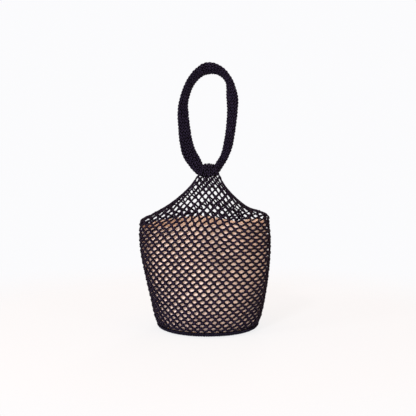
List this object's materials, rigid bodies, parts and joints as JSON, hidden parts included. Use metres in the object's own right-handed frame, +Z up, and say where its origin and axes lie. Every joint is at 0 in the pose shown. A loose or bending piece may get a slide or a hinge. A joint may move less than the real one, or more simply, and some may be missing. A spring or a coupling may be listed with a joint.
{
  "type": "netted handbag",
  "caption": "Upright bucket handbag: openwork cord net on a dense round base, tan cloth pouch inside, and a ring of thick band as its handle, tied at the neck by a short keeper loop.",
  "frame": {"origin": "on the floor under the middle of the bag, at the bottom of its box", "axes": "+Z up through the handle, the front faces -Y, +X is to the right as seen from the front"},
  "size_m": [0.2224, 0.1784, 0.4472],
  "materials": {
    "black_cord": "twisted cotton cord, purple-black, matt with a faint fibre sheen",
    "black_crochet": "dense crochet in the same purple-black cotton, matt",
    "tan_cloth": "plain woven tan cloth, matt"
  },
  "bodies": {
    "root": {"base_disc": "black_crochet", "net_wall": "black_cord", "net_front": "black_cord", "net_back": "black_cord", "pouch_wall": "tan_cloth", "pouch_floor": "tan_cloth", "handle": "black_crochet", "keeper_loop": "black_crochet"}
  },
  "joints": []
}
